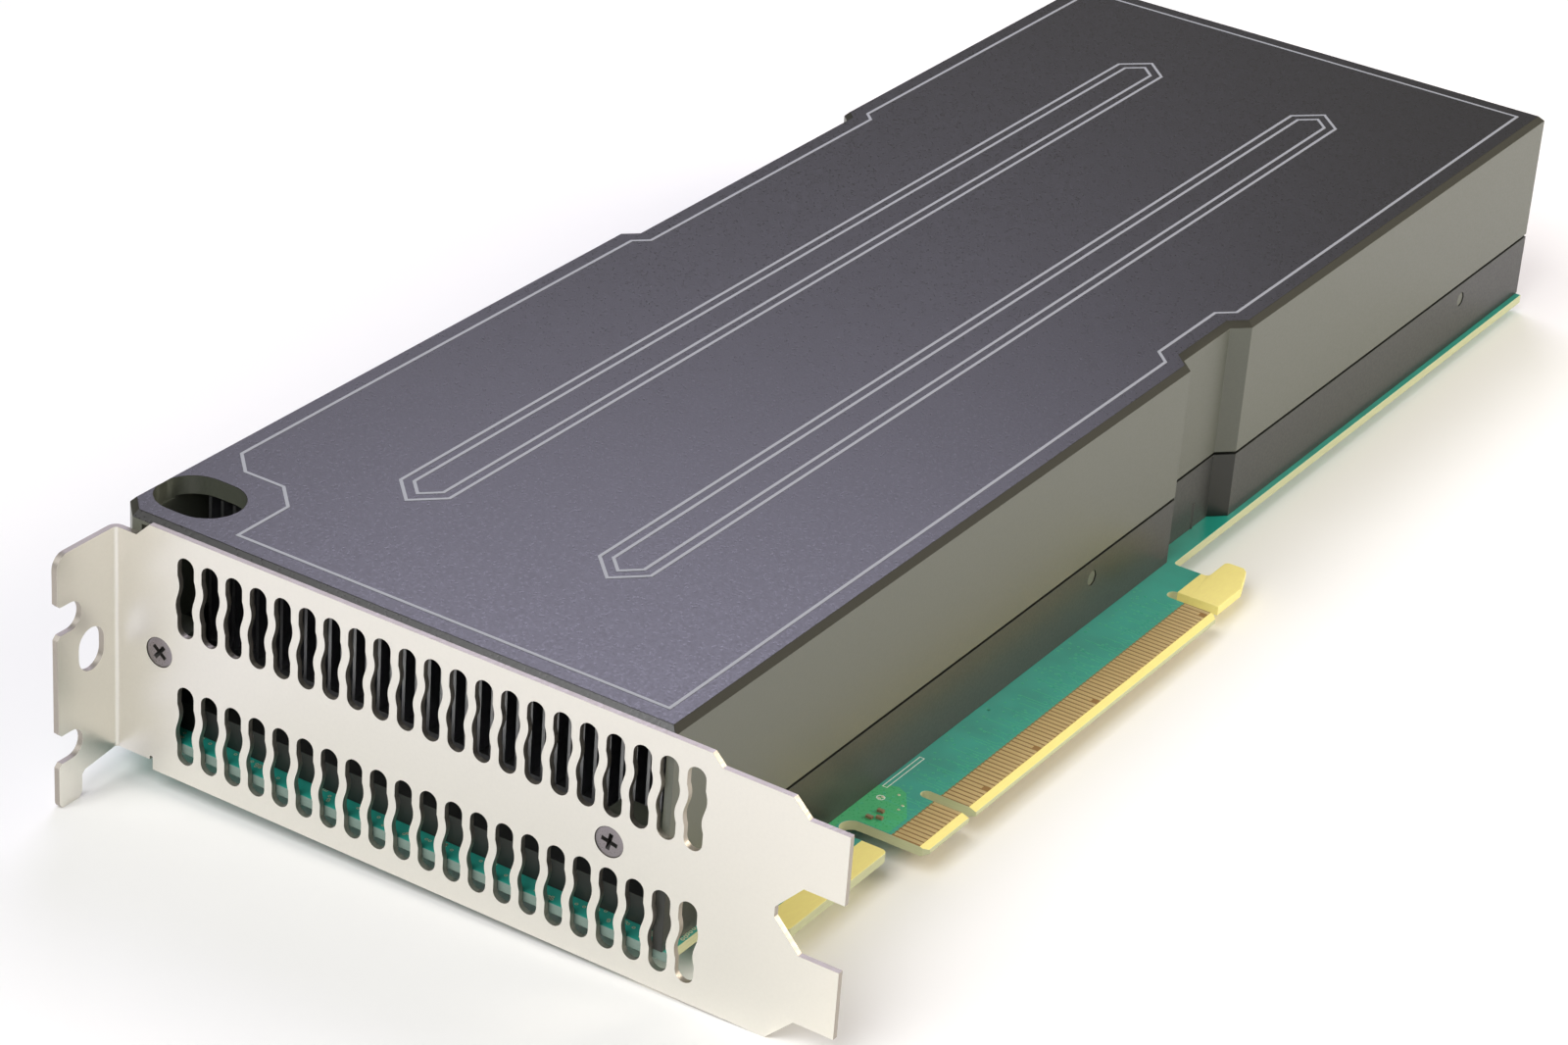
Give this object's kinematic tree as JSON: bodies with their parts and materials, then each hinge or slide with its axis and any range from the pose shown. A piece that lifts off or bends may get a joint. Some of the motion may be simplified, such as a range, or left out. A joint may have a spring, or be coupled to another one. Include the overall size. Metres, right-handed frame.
{
  "type": "passive accelerator card",
  "caption": "Passive dual-slot accelerator card: vented steel bracket with a notched flange, stepped dark metal cover over fin stacks, and a green board with a gold edge connector.",
  "frame": {"origin": "on the board's component side, in the middle of the edge connector's key notch, level with the ends of its contacts", "axes": "+X along the card away from the bracket, +Y from the contacts to the card's top edge, +Z out of the component side, through the cover"},
  "size_m": [0.2793, 0.1243, 0.0428],
  "materials": {
    "board": "green solder mask over glass-epoxy laminate",
    "gold": "gold plating",
    "component": "ceramic chip parts",
    "bracket_steel": "bright nickel-plated sheet",
    "screw_steel": "zinc-plated",
    "cover_metal": "satin dark anodised, fine grain",
    "stripe_ink": "light grey screen print",
    "frame_metal": "satin black anodised",
    "chip": "black moulding compound",
    "thermal_pad": "soft grey gap filler",
    "inductor": "pressed iron powder",
    "capacitor": "drawn aluminium can",
    "connector_plastic": "moulded nylon",
    "substrate": "laminate chip carrier",
    "die": "polished silicon",
    "copper": "milled copper",
    "fin_aluminium": "bare fins",
    "backing_steel": "black-plated spring steel"
  },
  "bodies": {
    "root": {"circuit_board": "board", "contacts_component_side": "gold", "contacts_solder_side": "gold", "edge_resistors": "component", "io_bracket": "bracket_steel", "bracket_screws": "screw_steel", "cover": "cover_metal", "roof_stripes": "stripe_ink", "base_frame": "frame_metal", "board_screws": "screw_steel", "memory_chips_component_side": "chip", "memory_chips_solder_side": "chip", "thermal_pads": "thermal_pad", "bridge_chip": "chip", "inductors": "inductor", "power_stages": "chip", "decoupling_capacitors": "component", "bulk_capacitors": "capacitor", "power_connector_housing": "connector_plastic", "power_connector_pins": "gold", "front_processor_substrate": "substrate", "front_processor_die": "die", "front_contact_plate": "copper", "front_heat_sink": "fin_aluminium", "front_backing_plate": "backing_steel", "front_heat_sink_screws": "screw_steel", "rear_processor_substrate": "substrate", "rear_processor_die": "die", "rear_contact_plate": "copper", "rear_heat_sink": "fin_aluminium", "rear_backing_plate": "backing_steel", "rear_heat_sink_screws": "screw_steel"}
  },
  "joints": []
}
